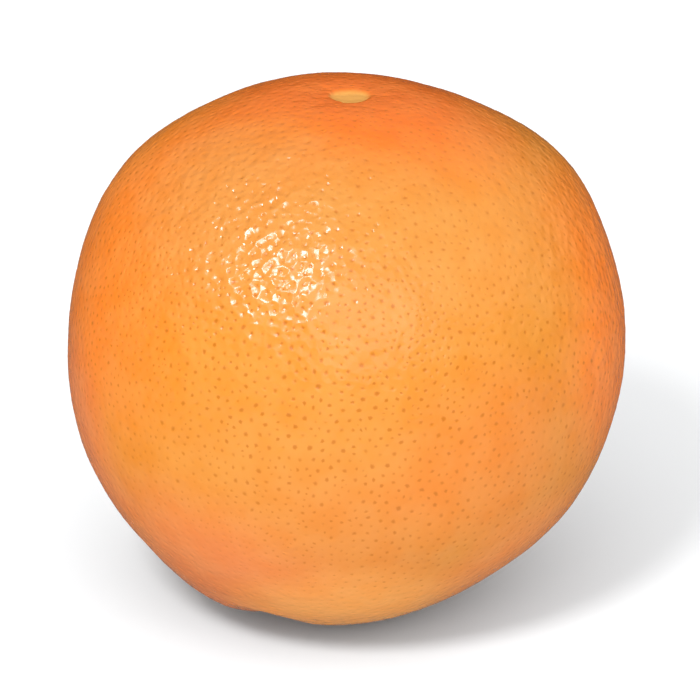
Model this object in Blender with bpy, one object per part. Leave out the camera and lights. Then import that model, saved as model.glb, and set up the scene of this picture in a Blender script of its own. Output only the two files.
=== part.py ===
"""One whole grapefruit, resting on its stem end.

The fruit is a single closed solid in metres, +Z up, with its origin at the middle of its base. An
icosphere gives the mesh, and the functions below say how far the peel lies from the fruit's heart in
each direction: a squat body with full shoulders, the low swells that keep it from being a ball, the dip
round the blossom end at the top, and the stem end below, with its furrows, hollow and dry button.
"""

from math import cos, exp, radians, sin

import bmesh
import bpy
from mathutils import Vector

# Driving dimensions, in metres
WIDTH = 0.1017  # across the body, before its swells
HEIGHT = 0.1010  # blossom end to stem end, before the dips and the flat spot
SHOULDER = 2.08  # 2 is an ellipse; above 2 the shoulders are fuller
TAPER = 0.035  # how much the lower half narrows towards the stem end
FLAT_SINK = 0.0005  # how much of the stem end the flat spot takes off

# Low swells and hollows of the body: azimuth from +X, elevation, spread (degrees), height (metres)
SWELLS = (
    (18, 37, 15, 0.0016),
    (163, 36, 19, 0.0016),
    (62, 62, 20, -0.0007),
    (5, 5, 22, 0.0004),
    (188, -18, 20, 0.0003),
    (213, -57, 13, 0.0013),
    (-35, -52, 24, -0.0020),
    (-6, -18, 20, -0.0008),
    (262, 28, 26, 0.0006),
    (60, -14, 26, 0.0007),
    (112, 12, 24, -0.0006),
    (140, -44, 22, 0.0004),
)

# Blossom end, at the top
DIP_SPREAD = radians(9)
DIP_DEPTH = 0.0012

# Stem end, underneath
HOLLOW_SPREAD = radians(6.2)
HOLLOW_DEPTH = 0.0034
BUTTON_SPREAD = radians(2.6)
BUTTON_HEIGHT = 0.0012
FURROW_WIDTH = 0.0014
FURROW_START = radians(5)

# Furrows that run out from the stem end: azimuth, reach from the stem axis (degrees), depth (metres)
FURROWS = (
    (229, 34, 0.0021),
    (287, 20, 0.0008),
    (341, 24, 0.0010),
    (38, 19, 0.0008),
    (97, 26, 0.0011),
    (164, 21, 0.0009),
)

# Mesh
BALL_SUBDIVISIONS = 5
FINE_CAPS = ((1, 24), (-1, 30), (-1, 15))  # side of the ball, half-angle in degrees


def direction(azimuth, elevation):
    """Unit vector at an azimuth from +X and an elevation above the ground, in degrees."""
    turn, lift = radians(azimuth), radians(elevation)
    return Vector((cos(turn) * cos(lift), sin(turn) * cos(lift), sin(lift)))


def bell(offset, spread):
    """1 at no offset, falling smoothly to nothing past about two spreads."""
    return exp(-((offset / spread) ** 2))


def smooth_step(low, high, value):
    """0 below low, 1 above high, and an even S between them. The limits may run either way."""
    share = min(max((value - low) / (high - low), 0.0), 1.0)
    return share * share * (3.0 - 2.0 * share)


def body_radius(way):
    """Distance from the heart to the plain body, full at the shoulders and narrower below."""
    across = Vector((way.x, way.y)).length
    narrowing = 1.0 - TAPER * max(0.0, -way.z) ** 2
    wide = across / (WIDTH / 2 * narrowing)
    tall = abs(way.z) / (HEIGHT / 2)
    return (wide**SHOULDER + tall**SHOULDER) ** (-1.0 / SHOULDER)


def swelling(way):
    """How far the swells and hollows move the peel outwards."""
    return sum(
        height * bell(way.angle(direction(azimuth, elevation)), radians(spread))
        for azimuth, elevation, spread, height in SWELLS
    )


def furrow_depth(way, from_stem, azimuth, reach, depth):
    """Depth of one furrow: a narrow valley along a line of longitude, deepest near the stem."""
    along = smooth_step(radians(reach), FURROW_START, from_stem)
    aside = way.cross(direction(azimuth, 0)).z * WIDTH / 2
    if way.dot(direction(azimuth, 0)) <= 0.0:
        return 0.0
    return depth * along * bell(aside, FURROW_WIDTH)


def stem_end(way):
    """How far the stem end's hollow and furrows sink the peel, less the button that stands in it."""
    from_stem = way.angle(Vector((0, 0, -1)))
    furrows = sum(furrow_depth(way, from_stem, *furrow) for furrow in FURROWS)
    hollow = HOLLOW_DEPTH * bell(from_stem, HOLLOW_SPREAD)
    button = BUTTON_HEIGHT * smooth_step(1.25 * BUTTON_SPREAD, 0.75 * BUTTON_SPREAD, from_stem)
    return furrows + hollow - button


def blossom_end(way):
    """How far the dip at the blossom end sinks the peel."""
    return DIP_DEPTH * bell(way.angle(Vector((0, 0, 1))), DIP_SPREAD)


def peel_point(way):
    """Point of the peel in one direction from the heart of the fruit."""
    return way * (body_radius(way) + swelling(way) - blossom_end(way) - stem_end(way))


def refine_cap(ball, side, half_angle):
    """Halve the edges of the ball that lie within an angle of its top (side 1) or bottom (side -1)."""
    limit = cos(radians(half_angle))
    edges = [e for e in ball.edges if all(v.co.normalized().z * side > limit for v in e.verts)]
    bmesh.ops.subdivide_edges(ball, edges=edges, cuts=1, use_grid_fill=True)
    bmesh.ops.triangulate(ball, faces=ball.faces)


def stand_on_flat(ball):
    """Centre the fruit over the origin and flatten the little that would reach below the ground."""
    xs, ys, zs = zip(*(v.co for v in ball.verts), strict=True)
    middle = Vector(((min(xs) + max(xs)) / 2, (min(ys) + max(ys)) / 2, min(zs) + FLAT_SINK))
    bmesh.ops.translate(ball, verts=ball.verts, vec=-middle)
    for vert in ball.verts:
        vert.co.z = max(vert.co.z, 0.0)


def grapefruit_mesh():
    """The whole fruit as one closed mesh."""
    ball = bmesh.new()
    bmesh.ops.create_icosphere(ball, subdivisions=BALL_SUBDIVISIONS, radius=1.0)
    for side, half_angle in FINE_CAPS:
        refine_cap(ball, side, half_angle)
    for vert in ball.verts:
        vert.co = peel_point(vert.co.normalized())
    stand_on_flat(ball)
    bmesh.ops.recalc_face_normals(ball, faces=ball.faces)
    mesh = bpy.data.meshes.new("grapefruit")
    ball.to_mesh(mesh)
    ball.free()
    mesh.shade_smooth()
    return mesh


def peel_material():
    """Ripe orange peel with a soft, waxy gloss."""
    material = bpy.data.materials.new("peel")
    material.use_nodes = True
    shader = material.node_tree.nodes["Principled BSDF"]
    shader.inputs["Base Color"].default_value = (0.93, 0.35, 0.07, 1.0)
    shader.inputs["Roughness"].default_value = 0.42
    shader.inputs["Metallic"].default_value = 0.0
    return material


def main():
    """Clear the scene and build the grapefruit."""
    for old in list(bpy.data.objects):
        bpy.data.objects.remove(old, do_unlink=True)
    parts = bpy.data.collections.new("grapefruit parts")
    bpy.context.scene.collection.children.link(parts)
    fruit = bpy.data.objects.new("grapefruit", grapefruit_mesh())
    fruit.data.materials.append(peel_material())
    parts.objects.link(fruit)


main()
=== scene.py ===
"""A ripe grapefruit resting on its stem end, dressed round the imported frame.

The peel is one fine closed mesh: a ball whose vertices are the oil glands, wrapped on the frame's solid
and then pressed in at each gland. The dry button of the stem end is a second small piece underneath.
"""

import logging
import random
from collections.abc import Iterable, Mapping
from dataclasses import dataclass
from enum import Enum
from math import atan2, cos, pi, radians, sin

import bmesh
import bpy
import numpy as np
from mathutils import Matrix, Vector, noise
from mathutils.bvhtree import BVHTree
from numpy.typing import NDArray


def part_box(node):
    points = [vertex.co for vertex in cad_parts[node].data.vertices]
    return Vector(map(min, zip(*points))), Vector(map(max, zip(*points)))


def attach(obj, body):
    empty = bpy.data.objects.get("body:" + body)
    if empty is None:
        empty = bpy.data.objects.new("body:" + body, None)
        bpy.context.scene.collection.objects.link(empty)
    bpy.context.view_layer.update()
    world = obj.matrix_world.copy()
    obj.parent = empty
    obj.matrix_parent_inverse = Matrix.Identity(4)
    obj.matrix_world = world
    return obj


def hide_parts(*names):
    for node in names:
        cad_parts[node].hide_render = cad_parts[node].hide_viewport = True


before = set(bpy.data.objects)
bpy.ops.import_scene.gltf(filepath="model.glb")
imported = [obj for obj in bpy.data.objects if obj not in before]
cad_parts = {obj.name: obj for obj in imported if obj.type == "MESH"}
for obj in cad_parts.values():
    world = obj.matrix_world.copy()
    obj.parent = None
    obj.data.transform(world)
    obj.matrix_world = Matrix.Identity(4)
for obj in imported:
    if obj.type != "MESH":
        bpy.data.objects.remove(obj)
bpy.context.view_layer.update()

log = logging.getLogger("grapefruit")

NODE = "grapefruit"
BODY = "root"
MM = 0.001

Colour = tuple[float, float, float, float]
Field = NDArray[np.float64]

WHITE: Colour = (1.0, 1.0, 1.0, 1.0)


class Reach(Enum):
    """What a lamp's light shows in."""

    SHADING = "shading"
    GLOSS = "gloss"


def direction(azimuth: float, elevation: float) -> Vector:
    """Unit vector at an azimuth from +X and an elevation above the ground.

    Args:
        azimuth: Turn about +Z in degrees.
        elevation: Angle above the ground in degrees.

    Returns:
        The unit vector.
    """
    turn, lift = radians(azimuth), radians(elevation)
    return Vector((cos(turn) * cos(lift), sin(turn) * cos(lift), sin(lift)))


def smooth_step(low: float, high: float, values: Field) -> Field:
    """An even S from 0 at low to 1 at high, for each value.

    Args:
        low: Where the S starts. It may be more than high.
        high: Where the S ends.
        values: The values to look up.

    Returns:
        The S at each value.
    """
    share = np.clip((values - low) / (high - low), 0.0, 1.0)
    return share * share * (3.0 - 2.0 * share)


# ----------------------------------------------------------------------------------------------------
# Shader tools
# ----------------------------------------------------------------------------------------------------


@dataclass(frozen=True)
class Graph:
    """Adds and joins nodes in one node tree."""

    tree: bpy.types.NodeTree

    def add(
        self, kind: str, inputs: Mapping[str | int, object] | None = None, **settings: object
    ) -> bpy.types.Node:
        """Add one node.

        Args:
            kind: The node's type, without its ShaderNode prefix.
            inputs: A value or an output socket for each named or numbered input.
            **settings: Properties of the node itself.

        Returns:
            The new node.
        """
        node = self.tree.nodes.new(f"ShaderNode{kind}")
        for name, value in settings.items():
            setattr(node, name, value)
        for key, value in (inputs or {}).items():
            self.feed(node.inputs[key], value)
        return node

    def feed(self, socket: bpy.types.NodeSocket, value: object) -> None:
        """Link an output to a socket, or set the socket's own value."""
        if isinstance(value, bpy.types.NodeSocket):
            self.tree.links.new(value, socket)
        else:
            socket.default_value = value

    def mix(self, share: object, first: object, second: object) -> bpy.types.NodeSocket:
        """The colour that lies a share of the way from the first to the second."""
        return self.add("Mix", {0: share, 6: first, 7: second}, data_type="RGBA").outputs[2]

    def math(self, operation: str, first: object, second: object = 0.0) -> bpy.types.NodeSocket:
        """The result of one sum."""
        return self.add("Math", {0: first, 1: second}, operation=operation).outputs[0]

    def ramp(
        self, value: object, low: object, high: object, bottom: float = 0.0, top: float = 1.0
    ) -> bpy.types.NodeSocket:
        """A smooth step of a value, from bottom at low to top at high."""
        inputs = {"Value": value, "From Min": low, "From Max": high, "To Min": bottom, "To Max": top}
        return self.add("MapRange", inputs, interpolation_type="SMOOTHSTEP").outputs["Result"]

    def attribute(self, name: str) -> bpy.types.NodeSocket:
        """A number that the mesh carries under a name."""
        return self.add("Attribute", attribute_name=name).outputs["Fac"]

    def place(self) -> bpy.types.NodeSocket:
        """Where the surface lies, in metres."""
        return self.add("TexCoord").outputs["Object"]

    def facing(self, way: object, target: object) -> bpy.types.NodeSocket:
        """How nearly a unit vector faces another: the cosine of the angle between them."""
        return self.add("VectorMath", {0: way, 1: target}, operation="DOT_PRODUCT").outputs["Value"]

    def bump(self, shader: bpy.types.Node, height: object) -> None:
        """Shape a shader's surface by a height in metres."""
        bump = self.add("Bump", {"Strength": 1.0, "Distance": 1.0, "Height": height})
        self.feed(shader.inputs["Normal"], bump.outputs[0])

    def noise(self, where: object, scale: object, detail: float = 2.0) -> bpy.types.NodeSocket:
        """A cloudy noise round 0.5 at a place."""
        return self.add("TexNoise", {"Vector": where, "Scale": scale, "Detail": detail}).outputs[0]


@dataclass(frozen=True)
class Groups:
    """The node groups that the finishes share."""

    patch: bpy.types.NodeTree
    mottle: bpy.types.NodeTree
    grain: bpy.types.NodeTree

    @classmethod
    def build(cls) -> "Groups":
        """Make every group once."""
        return cls(cls.make_patch(), cls.make_mottle(), cls.make_grain())

    @staticmethod
    def start(name: str, inputs: Mapping[str, str], output: str) -> tuple[Graph, bpy.types.Node]:
        """Start a group with named inputs and one float output.

        Args:
            name: The group's name.
            inputs: The socket type of each named input.
            output: The name of the output.

        Returns:
            The group's graph, and its node of inputs.
        """
        tree = bpy.data.node_groups.new(name, "ShaderNodeTree")
        for socket, kind in inputs.items():
            tree.interface.new_socket(socket, in_out="INPUT", socket_type=f"NodeSocket{kind}")
        tree.interface.new_socket(output, in_out="OUTPUT", socket_type="NodeSocketFloat")
        return Graph(tree), tree.nodes.new("NodeGroupInput")

    @staticmethod
    def finish(graph: Graph, value: bpy.types.NodeSocket) -> bpy.types.NodeTree:
        """Send a value to the group's output and give back the group."""
        graph.tree.links.new(value, graph.tree.nodes.new("NodeGroupOutput").inputs[0])
        return graph.tree

    @classmethod
    def make_patch(cls) -> bpy.types.NodeTree:
        """A soft-edged round patch of skin that faces a direction from the heart."""
        inputs = {"Heart": "Vector", "Direction": "Vector"}
        inputs |= {"Edge": "Float", "Core": "Float", "Wander": "Float"}
        graph, given = cls.start("skin patch", inputs, "Mask")
        place = graph.place()
        ends = {0: place, 1: given.outputs["Heart"]}
        spoke = graph.add("VectorMath", ends, operation="SUBTRACT").outputs[0]
        way = graph.add("VectorMath", {0: spoke}, operation="NORMALIZE").outputs[0]
        facing = graph.facing(way, given.outputs["Direction"])
        drift = graph.math("SUBTRACT", graph.noise(place, 38.0, 4.0), 0.5)
        moved = graph.math("ADD", facing, graph.math("MULTIPLY", drift, given.outputs["Wander"]))
        return cls.finish(graph, graph.ramp(moved, given.outputs["Edge"], given.outputs["Core"]))

    @classmethod
    def make_mottle(cls) -> bpy.types.NodeTree:
        """Cloudy unevenness of a skin's colour, from 0 to 1."""
        graph, given = cls.start("mottle", {"Scale": "Float"}, "Mask")
        cloud = graph.noise(graph.place(), given.outputs["Scale"], 5.0)
        return cls.finish(graph, graph.ramp(cloud, 0.32, 0.68))

    @classmethod
    def make_grain(cls) -> bpy.types.NodeTree:
        """The fine waxy grain of a skin, as a height in metres."""
        graph, given = cls.start("skin grain", {"Scale": "Float", "Height": "Float"}, "Height")
        cloud = graph.math("SUBTRACT", graph.noise(graph.place(), given.outputs["Scale"], 3.0), 0.5)
        return cls.finish(graph, graph.math("MULTIPLY", cloud, given.outputs["Height"]))


def use_group(graph: Graph, group: bpy.types.NodeTree, inputs: Mapping[str, object]) -> bpy.types.NodeSocket:
    """Place a group in a material.

    Args:
        graph: The material's graph.
        group: The group to place.
        inputs: Its values in this material.

    Returns:
        The group's output.
    """
    node = graph.tree.nodes.new("ShaderNodeGroup")
    node.node_tree = group
    for key, value in inputs.items():
        graph.feed(node.inputs[key], value)
    return node.outputs[0]


# ----------------------------------------------------------------------------------------------------
# Finishes
# ----------------------------------------------------------------------------------------------------


@dataclass(frozen=True)
class Patch:
    """An area of skin drawn in another colour: some are the skin's own tone, some are painted light and
    shade.
    """

    azimuth: float
    elevation: float
    core: float
    edge: float
    colour: Colour
    strength: float = 1.0
    wander: float = 0.10


@dataclass(frozen=True)
class PeelFinish:
    """Ripe peel: yellow-orange with redder and paler areas, dark oil glands and a waxy gloss; some areas are
    painted light and shade, and the furrows carry painted shade.
    """

    heart: Vector
    ground: Colour = (0.66, 0.235, 0.028, 1.0)
    gland_colour: Colour = (0.42, 0.115, 0.002, 1.0)
    scar_colour: Colour = (0.70, 0.32, 0.06, 1.0)
    # Painted shade: a darker colour laid along the furrow lines, where shade falls in the creases.
    crease_shade_colour: Colour = (0.45, 0.12, 0.02, 1.0)
    bounce_colour: Colour = (0.16, 0.17, 0.17, 1.0)
    specular_tint: Colour = (1.0, 0.84, 0.96, 1.0)
    specular_level: float = 0.40
    roughness: float = 0.20
    pit_scale: float = 560.0
    pit_smoothness: float = 0.3
    pit_height: float = 0.25 * MM
    pore_bump: float = 0.12 * MM
    dot_strength: float = 0.75
    # How strongly the painted shade of the furrows is laid on.
    crease_shade_strength: float = 0.8
    bounce_share: float = 0.85
    patches: tuple[Patch, ...] = (
        Patch(-80, -5, 10, 60, (0.59, 0.235, 0.036, 1.0), 0.8),
        Patch(0, 90, 8, 44, (0.72, 0.145, 0.008, 1.0), 0.9),
        Patch(195, 25, 5, 45, (0.84, 0.212, 0.032, 1.0), 0.7),
        # Redder and lighter on the right: partly the skin's redder side, partly painted light that brightens
        # that side.
        Patch(-8, 12, 5, 40, (0.90, 0.225, 0.034, 1.0), 0.8),
        # Painted sheen: a paler haze round the highlight, its red toned down as painted shade where the
        # softbox falls strongest.
        Patch(-124, 50, 5, 30, (0.58, 0.235, 0.046, 1.0), 0.7),
        # Painted sheen: paler beside the highlight, its red toned down as painted shade where the softbox
        # falls strongest.
        Patch(-80, 42, 6, 28, (0.54, 0.232, 0.038, 1.0), 0.6),
        # Painted shade: darker to tone down the brightly lit upper front.
        Patch(-45, 29, 4, 24, (0.62, 0.245, 0.036, 1.0), 0.6),
        Patch(-95, -28, 5, 30, (0.64, 0.200, 0.034, 1.0), 0.5),
        Patch(-60, -3, 5, 26, (0.68, 0.190, 0.024, 1.0), 0.6),
        Patch(-168, -14, 4, 26, (0.78, 0.230, 0.080, 1.0), 0.7),
        Patch(-130, -45, 5, 40, (0.74, 0.220, 0.070, 1.0), 0.8),
        Patch(-38, -42, 5, 28, (0.76, 0.245, 0.055, 1.0), 0.8),
        # Paler low at the front: partly the skin's paler bloom, partly painted light bounced from the floor.
        Patch(-90, -52, 4, 28, (0.84, 0.350, 0.075, 1.0), 0.9),
        Patch(60, -30, 5, 50, (0.84, 0.250, 0.026, 1.0), 0.7),
        # Painted light: lighter over the back, which lies in the shadow of the shading softbox.
        Patch(115, 5, 25, 75, (0.90, 0.300, 0.036, 1.0), 0.85),
    )

    def build(self, groups: Groups) -> bpy.types.Material:
        """Make the peel's material.

        Args:
            groups: The shared node groups.

        Returns:
            The material.
        """
        material = bpy.data.materials.new("ripe peel")
        material.use_nodes = True
        graph = Graph(material.node_tree)
        shader = material.node_tree.nodes["Principled BSDF"]
        colour = self.colour(graph, groups, graph.ramp(graph.attribute("gland"), 0.05, 0.75))
        diffuse = graph.add("LightPath").outputs["Is Diffuse Ray"]
        bounced = graph.math("MULTIPLY", diffuse, self.bounce_share)
        graph.feed(shader.inputs["Base Color"], graph.mix(bounced, colour, self.bounce_colour))
        uneven = use_group(graph, groups.mottle, {"Scale": 900.0})
        gloss = graph.ramp(uneven, 0.0, 1.0, self.roughness - 0.05, self.roughness + 0.07)
        graph.feed(shader.inputs["Roughness"], gloss)
        graph.bump(shader, self.height(graph, groups))
        shader.inputs["Specular IOR Level"].default_value = self.specular_level
        shader.inputs["Specular Tint"].default_value = self.specular_tint
        return material

    def height(self, graph: Graph, groups: Groups) -> bpy.types.NodeSocket:
        """The peel's fine relief in metres: grain, rounded pits where it is rough, and the pores.

        Args:
            graph: The material's graph.
            groups: The shared node groups.

        Returns:
            The height.
        """
        grain = use_group(graph, groups.grain, {"Scale": 1500.0, "Height": 0.02 * MM})
        cells = {"Vector": graph.place(), "Scale": self.pit_scale, "Smoothness": self.pit_smoothness}
        cell = graph.add("TexVoronoi", cells, feature="SMOOTH_F1").outputs["Distance"]
        rough = graph.math("MULTIPLY", graph.attribute("rough"), self.pit_height)
        raised = graph.math("ADD", grain, graph.math("MULTIPLY", cell, rough))
        pore = graph.math("MULTIPLY", graph.attribute("dimple"), self.pore_bump)
        return graph.math("SUBTRACT", raised, pore)

    def colour(self, graph: Graph, groups: Groups, dot: bpy.types.NodeSocket) -> bpy.types.NodeSocket:
        """The peel's colour: ground, then patches (some of them painted light and shade), mottling, glands,
        painted shade along the furrows and the blossom scar.

        Args:
            graph: The material's graph.
            groups: The shared node groups.
            dot: The mask of the gland dots.

        Returns:
            The colour.
        """
        colour: object = self.ground
        # Some of these patches are painted light and shade, as noted where they are listed.
        for patch in self.patches:
            mask = use_group(
                graph,
                groups.patch,
                {
                    "Heart": self.heart,
                    "Direction": direction(patch.azimuth, patch.elevation),
                    "Edge": cos(radians(patch.edge)),
                    "Core": cos(radians(patch.core)),
                    "Wander": patch.wander,
                },
            )
            colour = graph.mix(graph.math("MULTIPLY", mask, patch.strength), colour, patch.colour)
        mottled = use_group(graph, groups.mottle, {"Scale": 160.0})
        shift = {"Hue": 0.494, "Saturation": 1.04, "Value": 0.97, "Color": colour}
        deeper = graph.add("HueSaturation", shift).outputs[0]
        colour = graph.mix(graph.math("MULTIPLY", mottled, 0.5), colour, deeper)
        colour = graph.mix(graph.math("MULTIPLY", dot, self.dot_strength), colour, self.gland_colour)
        # Painted shade along the furrow lines.
        crease_shade = graph.math("MULTIPLY", graph.attribute("crease_shade"), self.crease_shade_strength)
        colour = graph.mix(crease_shade, colour, self.crease_shade_colour)
        return graph.mix(graph.attribute("scar"), colour, self.scar_colour)


@dataclass(frozen=True)
class ButtonFinish:
    """The dry, corky button that the stalk leaves."""

    dry: Colour = (0.20, 0.15, 0.07, 1.0)
    green: Colour = (0.16, 0.17, 0.06, 1.0)
    roughness: float = 0.85

    def build(self, groups: Groups) -> bpy.types.Material:
        """Make the button's material.

        Args:
            groups: The shared node groups.

        Returns:
            The material.
        """
        material = bpy.data.materials.new("dry button")
        material.use_nodes = True
        graph = Graph(material.node_tree)
        shader = material.node_tree.nodes["Principled BSDF"]
        mottled = use_group(graph, groups.mottle, {"Scale": 700.0})
        graph.feed(shader.inputs["Base Color"], graph.mix(mottled, self.dry, self.green))
        grain = use_group(graph, groups.grain, {"Scale": 1800.0, "Height": 0.12 * MM})
        graph.bump(shader, grain)
        shader.inputs["Roughness"].default_value = self.roughness
        return material


# ----------------------------------------------------------------------------------------------------
# The peel
# ----------------------------------------------------------------------------------------------------


@dataclass(frozen=True)
class Zone:
    """A soft round area of the fruit where a feature is stronger or weaker."""

    azimuth: float
    elevation: float
    spread: float
    amount: float

    def weight(self, ways: Field) -> Field:
        """The amount, fading with the angle from the zone's middle."""
        facing = np.clip(ways @ np.array(direction(self.azimuth, self.elevation)), -1.0, 1.0)
        return self.amount * np.exp(-((np.arccos(facing) / radians(self.spread)) ** 2))


@dataclass(frozen=True)
class Furrow:
    """A crease that runs out from the stem end."""

    azimuth: float
    reach: float
    depth: float
    valley: float = 0.0


@dataclass
class Peel:
    """The whole skin of the fruit, from the blossom scar to the stem end."""

    solid: bpy.types.Object
    low: Vector
    high: Vector
    ball_subdivisions: int = 6
    stray: float = 0.60
    wall: float = 0.86
    ease_rounds: int = 24
    inset: float = 0.03 * MM
    dimple_depth: float = 0.29 * MM
    ring_share: float = 0.38
    lump_height: float = 0.10 * MM
    ripple_height: float = 0.10 * MM
    cushion_height: float = 0.07 * MM
    scar_spot: Vector = Vector((0.6 * MM, -0.7 * MM, 0.0))
    scar_radius: float = 3.7 * MM
    scar_depth: float = 0.55 * MM
    ray_depth: float = 0.04 * MM
    seed: int = 11
    furrow_width: float = 0.9 * MM
    valley_width: float = 4.0 * MM
    gland_zones: tuple[Zone, ...] = (
        Zone(-90, 5, 48, 0.4),
        Zone(-40, 45, 30, -0.25),
        Zone(-135, -40, 35, -0.5),
        Zone(0, -90, 55, -0.75),
        Zone(-128, 56, 26, -0.3),
    )
    dimple_zones: tuple[Zone, ...] = (
        Zone(-118, 47, 28, 0.5),
        Zone(-60, -20, 50, -0.1),
    )
    rough_zones: tuple[Zone, ...] = (
        Zone(-10, 20, 30, 0.6),
        Zone(-114, 44, 26, 1.45),
    )
    furrows: tuple[Furrow, ...] = (
        Furrow(236, 40, 1.3 * MM, 2.6 * MM),
        Furrow(287, 20, 0.4 * MM),
        Furrow(341, 24, 0.5 * MM),
        Furrow(38, 19, 0.4 * MM),
        Furrow(97, 26, 0.5 * MM),
        Furrow(164, 21, 0.4 * MM),
    )

    def __post_init__(self) -> None:
        """Find the heart of the fruit, midway up."""
        self.heart = Vector((0.0, 0.0, (self.low.z + self.high.z) / 2))

    def gland_net(self) -> tuple[bpy.types.Mesh, Field]:
        """A unit ball of small triangles round oil glands that are spaced as unevenly as they grow.

        Returns:
            The mesh, and for each vertex 1 where it is a gland and 0 elsewhere.
        """
        net = bmesh.new()
        bmesh.ops.create_icosphere(net, subdivisions=self.ball_subdivisions, radius=1.0)
        spacing = (4 * pi / len(net.verts)) ** 0.5
        dice = random.Random(7)
        for vert in net.verts:
            stray = Vector(dice.uniform(-1, 1) for _ in range(3)) * spacing * self.stray
            vert.co = (vert.co + stray).normalized()
        for _ in range(2):
            self.join_neighbours(net)
            bmesh.ops.smooth_vert(
                net, verts=net.verts, factor=0.5, use_axis_x=True, use_axis_y=True, use_axis_z=True
            )
            for vert in net.verts:
                vert.co.normalize()
        self.join_neighbours(net)
        cut = bmesh.ops.subdivide_edges(net, edges=net.edges, cuts=2, use_grid_fill=True)
        net.verts.index_update()
        is_gland = np.ones(len(net.verts))
        is_gland[[part.index for part in cut["geom_inner"] if isinstance(part, bmesh.types.BMVert)]] = 0.0
        mesh = bpy.data.meshes.new("peel")
        net.to_mesh(mesh)
        net.free()
        return mesh, is_gland

    @staticmethod
    def join_neighbours(net: bmesh.types.BMesh) -> None:
        """Join each gland to its nearest neighbours, as the hull of the ball does."""
        bmesh.ops.delete(net, geom=net.edges[:] + net.faces[:], context="EDGES_FACES")
        bmesh.ops.convex_hull(net, input=net.verts)
        bmesh.ops.recalc_face_normals(net, faces=net.faces)

    @staticmethod
    def links(mesh: bpy.types.Mesh) -> NDArray[np.int64]:
        """The two vertices of each edge."""
        pairs = np.empty(len(mesh.edges) * 2, dtype=np.int32)
        mesh.edges.foreach_get("vertices", pairs)
        return pairs.reshape(-1, 2).astype(np.int64)

    @staticmethod
    def ease(values: Field, links: NDArray[np.int64], rounds: int) -> Field:
        """Move every value halfway to the mean of its neighbours, several times over.

        Args:
            values: One value for each vertex.
            links: The two vertices of each edge.
            rounds: How many times.

        Returns:
            The smoother values.
        """
        starts, ends = links.T
        size = len(values)
        count = np.bincount(starts, minlength=size) + np.bincount(ends, minlength=size)
        for _ in range(rounds):
            total = np.bincount(starts, values[ends], size) + np.bincount(ends, values[starts], size)
            values = (values + total / count) / 2
        return values

    def solid_radius(self, ways: Field) -> Field:
        """How far the frame's solid reaches in each direction from the heart."""
        tree = BVHTree.FromPolygons(
            [v.co for v in self.solid.data.vertices], [tuple(p.vertices) for p in self.solid.data.polygons]
        )
        reach = []
        for way in ways:
            hit = tree.ray_cast(self.heart, Vector(way))[0]
            if hit is None:
                hit = tree.find_nearest(self.heart + Vector(way) * (self.high.z / 2))[0]
            reach.append((hit - self.heart).length)
        return np.array(reach)

    def relief(self, ways: Field, is_gland: Field, ring: Field) -> tuple[Field, dict[str, Field]]:
        """How far the skin is pressed in at each vertex, and the masks that its finish reads.

        Args:
            ways: Unit vectors from the heart.
            is_gland: 1 at each gland.
            ring: 1 at each vertex next to a gland.

        Returns:
            The depth at each vertex in metres, and the masks by name.
        """
        size = self.high.z / 2
        dice = np.random.default_rng(self.seed)
        strength = self.level(ways, 0.72, self.gland_zones, 0.05, 1.0) * dice.uniform(0.45, 1.15, len(ways))
        dimple = self.level(ways, 0.35, self.dimple_zones, 0.05, 1.5) * dice.uniform(0.6, 1.2, len(ways))
        rough = self.level(ways, 0.25, self.rough_zones, 0.0, 1.6)
        scar, rays = self.blossom_end(ways, size)
        strength = strength * (1 - scar)
        dimple = dimple * (1 - scar)
        lumps = np.array([noise.noise(Vector(way) * 7.0) for way in ways])
        ripples = [noise.noise(Vector(way) * 19.0) + 0.8 * noise.noise(Vector(way) * 33.0) for way in ways]
        cushions = dice.uniform(0.0, 1.0, len(ways)) * (1 - ring) * (1 - is_gland)
        depth = self.inset + dimple * self.dimple_depth * (is_gland + self.ring_share * ring)
        depth += self.lump_height * (1 - lumps)
        depth += self.ripple_height * (1 - np.array(ripples)) * rough
        depth += self.cushion_height * cushions * (0.3 + rough)
        depth += self.scar_depth * scar + self.ray_depth * (1 + rays)
        sunk, crease_shade = self.stem_end(ways, size)
        masks = {"gland": strength * is_gland, "dimple": dimple * is_gland, "rough": rough}
        # The furrow-line mask, squared, sets where the finish paints shade along the furrows.
        return depth + sunk, masks | {"scar": scar, "crease_shade": crease_shade * crease_shade}

    @staticmethod
    def level(ways: Field, base: float, zones: Iterable[Zone], least: float, most: float) -> Field:
        """A feature's strength at each vertex: a base and its zones, kept between two limits."""
        return np.clip(base + sum(zone.weight(ways) for zone in zones), least, most)

    def blossom_end(self, ways: Field, size: float) -> tuple[Field, Field]:
        """The scar at the top, and the faint rays round it.

        Args:
            ways: Unit vectors from the heart.
            size: Half the fruit's height.

        Returns:
            1 on the scar, and the rays from -1 to 1.
        """
        across = ways * size - np.array(self.scar_spot)
        turn = np.arctan2(across[:, 1], across[:, 0])
        from_top = np.where(ways[:, 2] > 0, np.hypot(across[:, 0], across[:, 1]), size)
        uneven = from_top * (1 + 0.05 * np.cos(3 * turn + 1))
        scar = smooth_step(self.scar_radius * 1.06, self.scar_radius * 0.82, uneven)
        band = smooth_step(14 * MM, 5 * MM, from_top) * smooth_step(3 * MM, 5 * MM, from_top)
        return scar, np.cos(9 * turn + 3 * np.sin(2 * turn)) * band

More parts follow.
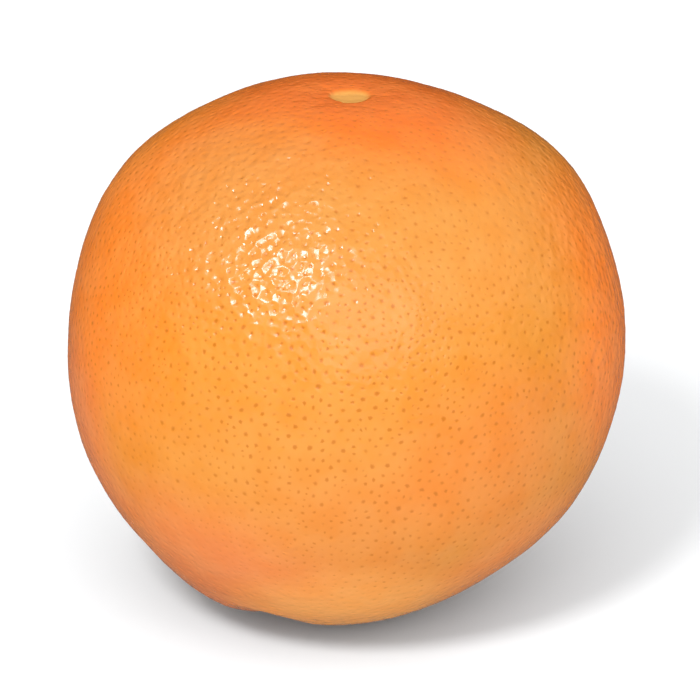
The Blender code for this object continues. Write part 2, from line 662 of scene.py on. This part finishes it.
    def stem_end(self, ways: Field, size: float) -> tuple[Field, Field]:
        """The furrows and valleys that run out from the stem end, and where shade is painted along the
        furrows.

        Args:
            ways: Unit vectors from the heart.
            size: Half the fruit's height.

        Returns:
            How far they sink the skin in metres, and the mask of painted shade along the furrows, 1 on their
            lines.
        """
        from_stem = np.arccos(np.clip(-ways[:, 2], -1.0, 1.0)) * size
        clear = smooth_step(2.5 * MM, 4.5 * MM, from_stem)
        sunk = np.zeros(len(ways))
        crease_shade = np.zeros(len(ways))
        for furrow in self.furrows:
            heading = np.array(direction(furrow.azimuth, 0))
            aside = np.cross(ways, heading)[:, 2] * size
            reach = radians(furrow.reach) * size
            along = smooth_step(reach, 0.7 * reach, from_stem) * (ways @ heading > 0) * clear
            outer = along * smooth_step(0.3 * reach, 0.65 * reach, from_stem)
            line = along * np.exp(-((aside / self.furrow_width) ** 2))
            valley = outer * np.exp(-((aside / self.valley_width) ** 2))
            sunk += furrow.depth * line + furrow.valley * valley
            # The furrow lines also make the mask of painted shade in the colour.
            crease_shade = np.maximum(crease_shade, line)
        return sunk, crease_shade

    def build(self, finish: bpy.types.Material) -> bpy.types.Object:
        """Make the peel.

        Args:
            finish: Its material.

        Returns:
            The finished piece.
        """
        mesh, is_gland = self.gland_net()
        links = self.links(mesh)
        spots = np.empty(len(mesh.vertices) * 3)
        mesh.vertices.foreach_get("co", spots)
        ways = spots.reshape(-1, 3)
        ways /= np.linalg.norm(ways, axis=1)[:, None]
        ways, ring = self.draw_walls_in(ways, links, is_gland)
        radius = self.ease(self.solid_radius(ways), links, self.ease_rounds)
        depth, masks = self.relief(ways, is_gland, ring)
        points = np.array(self.heart) + ways * (radius - depth)[:, None]
        points = np.clip(points, np.array(self.low), np.array(self.high))
        mesh.vertices.foreach_set("co", points.ravel())
        for name, values in masks.items():
            mesh.attributes.new(name, "FLOAT", "POINT").data.foreach_set("value", values)
        mesh.materials.append(finish)
        mesh.shade_smooth()
        mesh.update()
        return add_piece("peel", mesh)

    def draw_walls_in(self, ways: Field, links: NDArray[np.int64], is_gland: Field) -> tuple[Field, Field]:
        """Draw the ring of vertices round each gland in towards it, so that its walls are steeper.

        Args:
            ways: Unit vectors from the heart.
            links: The two vertices of each edge.
            is_gland: 1 at each gland.

        Returns:
            The new unit vectors, and 1 at each vertex of a ring.
        """
        pairs = np.vstack((links, links[:, ::-1]))
        pairs = pairs[(is_gland[pairs[:, 0]] == 1) & (is_gland[pairs[:, 1]] == 0)]
        gland, near = pairs.T
        moved = ways.copy()
        moved[near] = ways[gland] + (ways[near] - ways[gland]) * self.wall
        ring = np.zeros(len(ways))
        ring[near] = 1.0
        return moved / np.linalg.norm(moved, axis=1)[:, None], ring


# ----------------------------------------------------------------------------------------------------
# The stem button
# ----------------------------------------------------------------------------------------------------


@dataclass
class StemButton:
    """The dry star of sepals and the stalk's scar, sunk in the hollow of the stem end."""

    top: float
    radius: float = 2.6 * MM
    lobes: int = 5
    lobe_depth: float = 0.16
    thickness: float = 0.7 * MM
    segments: int = 60

    def profile(self) -> list[Vector]:
        """Half of the button's section, from its middle underneath to its middle on top."""
        scar = ((0.0, 0.35), (0.22, 0.30), (0.34, 0.0), (0.46, 0.05))
        sepals = ((0.52, 0.35), (0.80, 0.30), (1.0, 0.55), (0.92, 1.0))
        foot = self.top - self.thickness
        under = [Vector((self.radius * out, 0.0, foot + self.thickness * up)) for out, up in scar + sepals]
        return under + [Vector((0.0, 0.0, self.top))]

    def build(self, finish: bpy.types.Material) -> bpy.types.Object:
        """Make the button.

        Args:
            finish: Its material.

        Returns:
            The finished piece.
        """
        turned = bmesh.new()
        corners = [turned.verts.new(point) for point in self.profile()]
        edges = [turned.edges.new(pair) for pair in zip(corners, corners[1:])]
        spun = {"axis": (0, 0, 1), "cent": (0, 0, 0), "angle": 2 * pi, "use_merge": True}
        bmesh.ops.spin(turned, geom=corners + edges, steps=self.segments, **spun)
        bmesh.ops.remove_doubles(turned, verts=turned.verts, dist=0.001 * MM)
        bmesh.ops.recalc_face_normals(turned, faces=turned.faces)
        for vert in turned.verts:
            out = Vector((vert.co.x, vert.co.y)).length / self.radius
            turn = atan2(vert.co.y, vert.co.x)
            star = 1 - self.lobe_depth * out * out * (0.5 - 0.5 * cos(self.lobes * turn))
            vert.co.x *= star
            vert.co.y *= star
        mesh = bpy.data.meshes.new("stem_button")
        turned.to_mesh(mesh)
        turned.free()
        mesh.materials.append(finish)
        mesh.shade_smooth()
        return add_piece("stem_button", mesh)


def add_piece(name: str, mesh: bpy.types.Mesh) -> bpy.types.Object:
    """Put a piece of the fruit in the scene, riding on its body.

    Args:
        name: The piece's name.
        mesh: Its mesh, in place.

    Returns:
        The piece.
    """
    piece = bpy.data.objects.new(name, mesh)
    bpy.context.scene.collection.objects.link(piece)
    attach(piece, BODY)
    log.info("%s: %d vertices, %d faces", name, len(mesh.vertices), len(mesh.polygons))
    return piece


# ----------------------------------------------------------------------------------------------------
# The studio
# ----------------------------------------------------------------------------------------------------


@dataclass(frozen=True)
class Softbox:
    """A round softbox: its direction from the fruit, its power, its width and what it shows in."""

    way: Vector
    power: float
    width: float
    reach: Reach


@dataclass
class Studio:
    """White floor, white surroundings, the softboxes and the camera."""

    target: Vector
    front_fill: float = 1.02
    back_fill: float = 0.14
    fill_way: Vector = Vector((0.32, -0.84, 0.30))
    sky_light: float = 0.18
    window_light: float = 1.6
    window_way: Vector = Vector((0.12, -0.84, 0.50))
    softboxes: tuple[Softbox, ...] = (
        Softbox(Vector((-0.29, -0.68, 0.68)), 8.0, 0.27, Reach.SHADING),
        Softbox(Vector((-0.41, -0.53, 0.76)), 12.0, 0.38, Reach.GLOSS),
    )
    softbox_distance: float = 1.2
    floor_size: float = 8.0
    floor_colour: Colour = (0.95, 0.96, 0.97, 1.0)
    floor_glow: float = 0.02
    aim_offset: Vector = Vector((0.0006, 0.0, -0.0004))
    camera_distance: float = 1.0
    camera_elevation: float = 22.3
    frame_width: float = 0.1273
    sensor: float = 36.0

    def build(self) -> None:
        """Set up the floor, the lights and the camera."""
        self.lay_floor()
        self.light_room()
        for softbox in self.softboxes:
            self.hang(softbox)
        self.place_camera()
        bpy.context.scene.view_settings.view_transform = "Standard"

    def lay_floor(self) -> None:
        """A plain white floor under the fruit."""
        slab = bmesh.new()
        bmesh.ops.create_grid(slab, x_segments=1, y_segments=1, size=self.floor_size / 2)
        mesh = bpy.data.meshes.new("floor")
        slab.to_mesh(mesh)
        slab.free()
        material = bpy.data.materials.new("white floor")
        material.use_nodes = True
        shader = material.node_tree.nodes["Principled BSDF"]
        shader.inputs["Base Color"].default_value = self.floor_colour
        shader.inputs["Roughness"].default_value = 1.0
        shader.inputs["Specular IOR Level"].default_value = 0.0
        shader.inputs["Emission Color"].default_value = WHITE
        shader.inputs["Emission Strength"].default_value = self.floor_glow
        mesh.materials.append(material)
        floor = bpy.data.objects.new("floor", mesh)
        floor.visible_glossy = False
        bpy.context.scene.collection.objects.link(floor)

    def light_room(self) -> None:
        """Soft white light from all round, stronger from the front, in a room that looks plain white."""
        world = bpy.data.worlds.new("white room")
        world.use_nodes = True
        graph = Graph(world.node_tree)
        way = graph.add("TexCoord").outputs["Generated"]
        upward = graph.add("SeparateXYZ", {0: way}).outputs["Z"]
        front = graph.facing(way, self.fill_way.normalized())
        window = graph.facing(way, self.window_way.normalized())
        level = graph.ramp(graph.math("ABSOLUTE", upward), 0.0, 0.5, 0.3, 1.0)
        light = graph.math("MULTIPLY", graph.ramp(front, -0.9, 0.9, self.back_fill, self.front_fill), level)
        light = graph.math("ADD", light, graph.ramp(window, 0.83, 0.98, 0.0, self.window_light))
        light = graph.math("ADD", light, graph.ramp(upward, 0.0, 0.7, 0.0, self.sky_light))
        seen = graph.add("LightPath").outputs["Is Camera Ray"]
        background = world.node_tree.nodes["Background"]
        graph.feed(background.inputs["Strength"], graph.math("MAXIMUM", light, seen))
        graph.feed(background.inputs["Color"], WHITE)
        bpy.context.scene.world = world

    def hang(self, softbox: Softbox) -> None:
        """Hang one softbox so that it faces the fruit.

        Args:
            softbox: The softbox.
        """
        light = bpy.data.lights.new("softbox", "AREA")
        light.shape = "DISK"
        light.energy = softbox.power
        light.size = softbox.width
        lamp = bpy.data.objects.new(f"softbox for {softbox.reach.value}", light)
        lamp.visible_diffuse = softbox.reach is Reach.SHADING
        lamp.visible_glossy = softbox.reach is Reach.GLOSS
        way = softbox.way.normalized()
        lamp.location = self.target + way * self.softbox_distance
        lamp.rotation_euler = way.to_track_quat("Z", "Y").to_euler()
        bpy.context.scene.collection.objects.link(lamp)

    def place_camera(self) -> None:
        """A long lens that looks a little down on the fruit."""
        camera = bpy.data.cameras.new("camera")
        camera.sensor_width = self.sensor
        camera.lens = self.sensor * self.camera_distance / self.frame_width
        camera.clip_start = 0.01
        view = bpy.data.objects.new("camera", camera)
        way = direction(-90.0, self.camera_elevation)
        view.location = self.target + self.aim_offset + way * self.camera_distance
        view.rotation_euler = way.to_track_quat("Z", "Y").to_euler()
        bpy.context.scene.collection.objects.link(view)
        bpy.context.scene.camera = view


def main() -> None:
    """Dress the fruit and set up the studio."""
    logging.basicConfig(level=logging.INFO, format="%(name)s: %(message)s")
    low, high = (Vector(corner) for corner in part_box(NODE))
    groups = Groups.build()
    peel = Peel(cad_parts[NODE], low, high)
    skin = peel.build(PeelFinish(peel.heart).build(groups))
    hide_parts(NODE)
    StemButton(top=2.6 * MM).build(ButtonFinish().build(groups))
    Studio(peel.heart).build()


if __name__ == "__main__":
    main()
